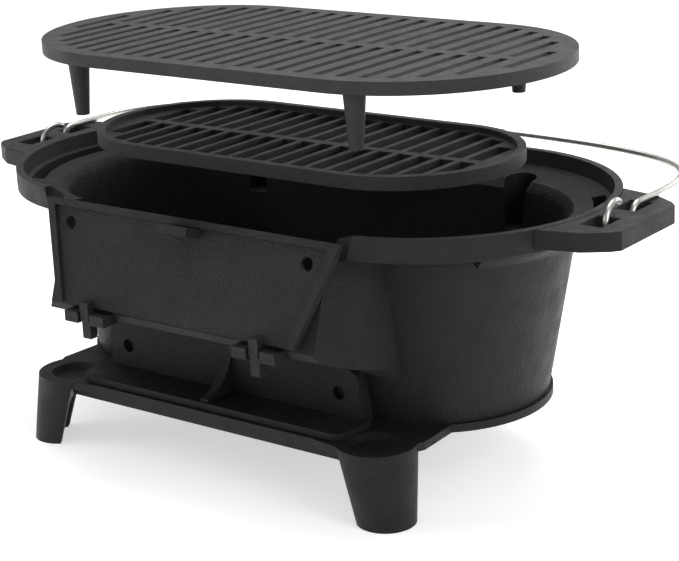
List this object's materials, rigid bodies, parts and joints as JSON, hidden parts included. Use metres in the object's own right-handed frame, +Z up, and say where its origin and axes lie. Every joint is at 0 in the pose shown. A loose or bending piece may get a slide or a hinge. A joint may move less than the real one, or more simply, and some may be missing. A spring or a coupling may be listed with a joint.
{
  "type": "charcoal camp grill",
  "caption": "Oval cast iron charcoal grill with lift-out cooking and fire grates, a drop-down coal door, a sliding draft door, a wire bail and a three-legged base",
  "frame": {"origin": "centre of the bounding box in X and Y, on the ground plane the three feet stand on", "axes": "+X along the two end handles, +Y towards the back (the coal door and draft door face -Y), +Z up"},
  "size_m": [0.578, 0.3303, 0.301],
  "materials": {
    "iron": "seasoned cast iron, satin black with a fine sand-cast grain",
    "iron_grate": "seasoned cast iron, slightly lighter on the worn top faces",
    "steel_wire": "bright drawn steel wire",
    "zinc_steel": "zinc plated fasteners"
  },
  "bodies": {
    "body": {"base": "iron", "fire_bowl": "iron", "handle_left": "iron", "handle_right": "iron", "base_bolts": "zinc_steel", "base_washers": "zinc_steel", "base_nuts": "zinc_steel"},
    "cooking_grate_body": {"cooking_grate": "iron_grate"},
    "fire_grate_body": {"fire_grate": "iron_grate"},
    "coal_door_body": {"coal_door": "iron"},
    "draft_door_body": {"draft_door": "iron"},
    "bail_body": {"bail_handle": "steel_wire"}
  },
  "joints": [
    {"name": "cooking_grate_lift", "type": "slide", "parent": "body", "child": "cooking_grate_body", "axis": [0, 0, 1], "range_m": [-0.102, 0]},
    {"name": "fire_grate_lift", "type": "slide", "parent": "body", "child": "fire_grate_body", "axis": [0, 0, 1], "range_m": [-0.1301, 0]},
    {"name": "coal_door_swing", "type": "hinge", "parent": "body", "child": "coal_door_body", "pos_m": [0, -0.15965, 0.119], "axis": [1, 0, 0], "range_deg": [0, 100]},
    {"name": "draft_door_slide", "type": "slide", "parent": "body", "child": "draft_door_body", "axis": [0, -1, 0], "range_m": [0, 0.024]},
    {"name": "bail_swing", "type": "hinge", "parent": "body", "child": "bail_body", "pos_m": [0, 0.00085, 0.19525], "axis": [1, 0, 0], "range_deg": [0, 148]}
  ],
  "couplings": [
    {"joint": "fire_grate_lift", "follows": "cooking_grate_lift", "ratio": 1.2745}
  ]
}
